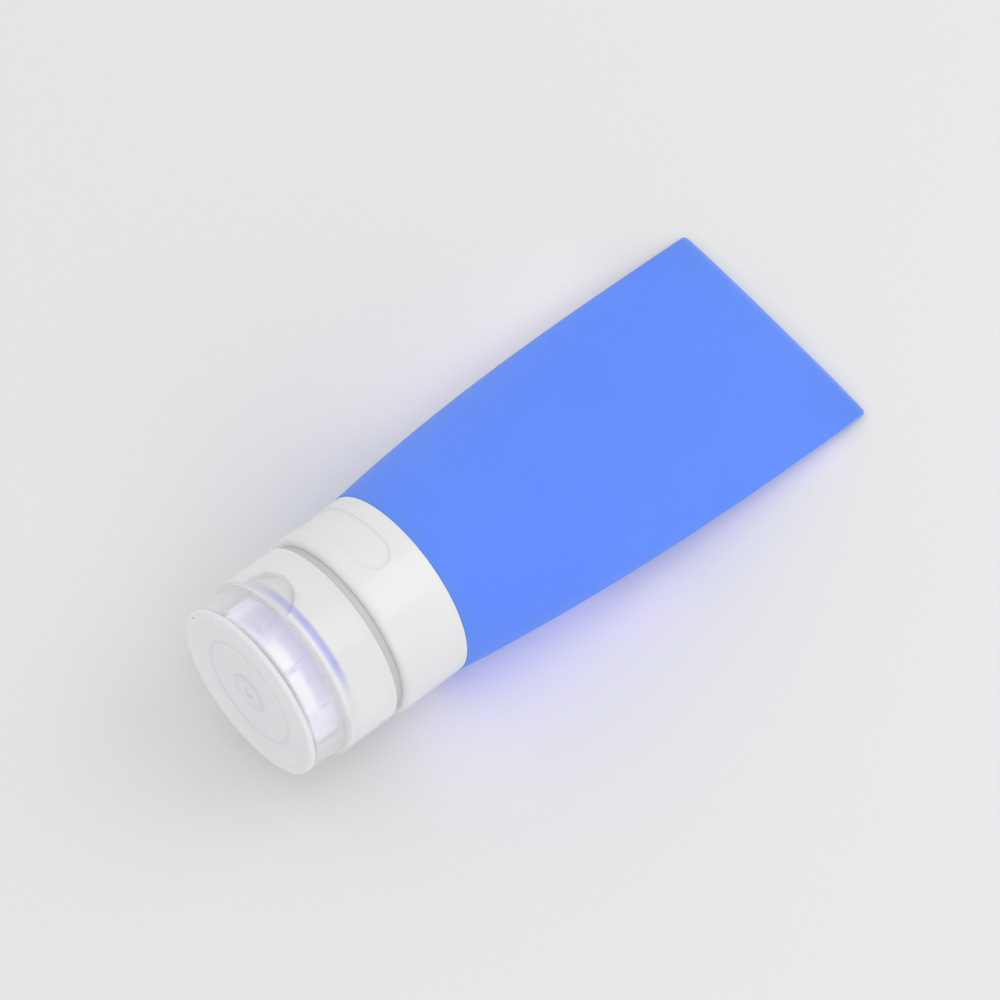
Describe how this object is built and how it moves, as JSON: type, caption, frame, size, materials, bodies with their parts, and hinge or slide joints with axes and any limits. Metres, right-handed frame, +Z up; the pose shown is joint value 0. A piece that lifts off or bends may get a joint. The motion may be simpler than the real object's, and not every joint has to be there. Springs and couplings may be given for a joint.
{
  "type": "silicone travel bottle",
  "caption": "Soft squeezable travel bottle lying on its side, with a pinched flat end, a white collar with a blank label field, a clear flip-top screw cap and a suction disc on the lid",
  "frame": {"origin": "centre of the lying bottle's bounding box, on the surface it lies on", "axes": "+X along the bottle from the cap to the pinched end of the tube, +Y to the side away from the picture's viewer, +Z up from the surface it lies on"},
  "size_m": [0.1386, 0.0536, 0.0431],
  "materials": {
    "blue_silicone": "matte soft silicone",
    "neck_plastic": "satin hard plastic",
    "white_plastic": "glossy hard plastic",
    "washer_rubber": "matte, dyed like the valve",
    "clear_plastic": "clear, glossy",
    "valve_silicone": "matte soft silicone",
    "ring_plastic": "satin hard plastic",
    "lid_plastic": "clear, glossy",
    "disc_silicone": "translucent, satin"
  },
  "bodies": {
    "bottle": {"tube_body": "blue_silicone", "neck_spout": "neck_plastic", "collar": "white_plastic"},
    "washer": {"sealing_washer": "washer_rubber"},
    "cap": {"cap_base": "clear_plastic", "valve": "valve_silicone", "valve_ring": "ring_plastic"},
    "lid": {"flip_lid": "lid_plastic", "suction_disc": "disc_silicone"}
  },
  "joints": [
    {"name": "cap_lift", "type": "slide", "parent": "bottle", "child": "washer", "axis": [-0.9914, 0, 0.1305], "range_m": [0, 0.0045]},
    {"name": "cap_turn", "type": "hinge", "parent": "washer", "child": "cap", "pos_m": [-0.02974, 0, 0.01993], "axis": [-0.9914, 0, 0.1305], "range_deg": [0, 540]},
    {"name": "lid_flip", "type": "hinge", "parent": "cap", "child": "lid", "pos_m": [-0.05927, -0.00703, 0.0071], "axis": [0.051, -0.9205, 0.3874], "range_deg": [0, 105]}
  ],
  "couplings": [
    {"joint": "cap_turn", "follows": "cap_lift", "rad_per_m": 2094.4}
  ]
}
